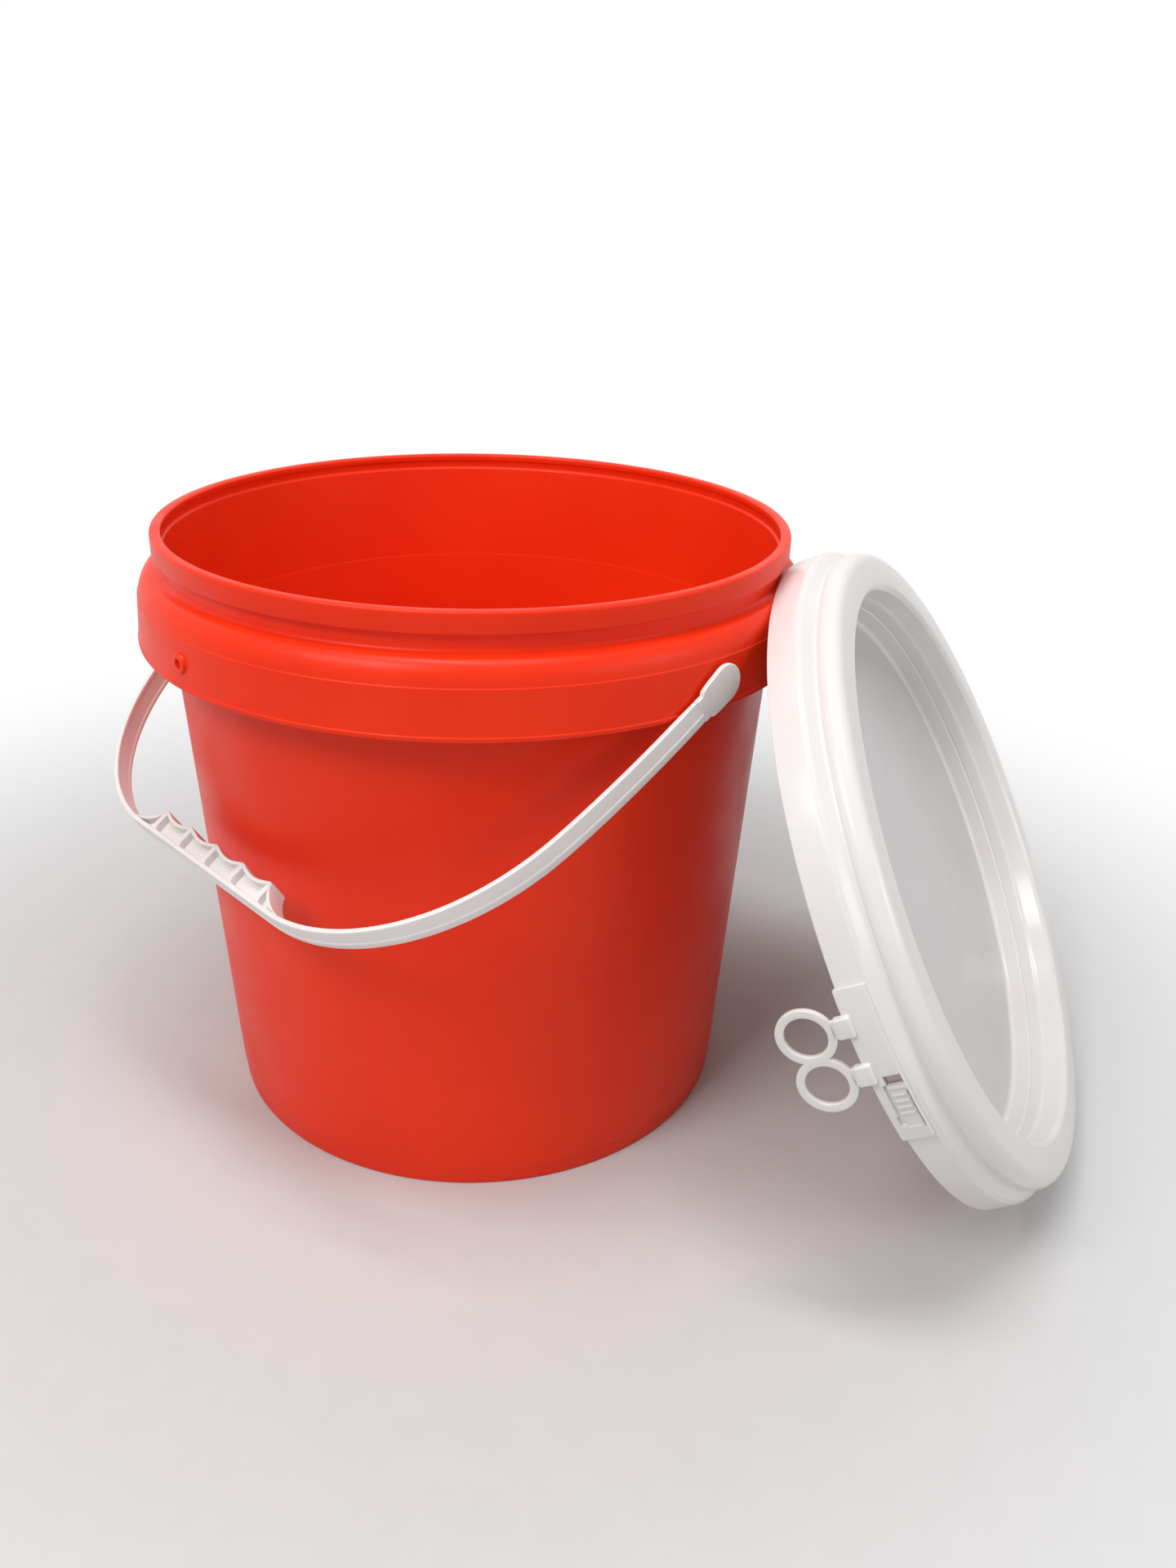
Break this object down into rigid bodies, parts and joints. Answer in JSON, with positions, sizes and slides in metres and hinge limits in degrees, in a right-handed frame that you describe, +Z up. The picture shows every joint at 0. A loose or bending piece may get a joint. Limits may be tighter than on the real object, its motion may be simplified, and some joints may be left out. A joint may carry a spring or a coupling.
{
  "type": "plastic bucket",
  "caption": "Red plastic pail with a white snap-in bail with a finger grip and its white tear-band lid leaning against the side.",
  "frame": {"origin": "on the pail's own axis, at the level of the floor that it stands on", "axes": "+Z up along the pail's axis; X along the line through the two bail pivots, +X towards the side the lid leans on; the bail hangs on the -Y side"},
  "size_m": [0.4212, 0.3818, 0.2636],
  "materials": {
    "red_plastic": "satin moulded polypropylene, slightly translucent",
    "white_plastic": "smooth moulded polypropylene",
    "lid_plastic": "glossy moulded polypropylene, slightly translucent"
  },
  "bodies": {
    "pail": {"bucket": "red_plastic", "lid": "lid_plastic"},
    "bail": {"bail_handle": "white_plastic"}
  },
  "joints": [
    {"name": "bail_swing", "type": "hinge", "parent": "pail", "child": "bail", "pos_m": [0, 0, 0.2292], "axis": [-1, 0, 0], "range_deg": [0, 171]}
  ]
}
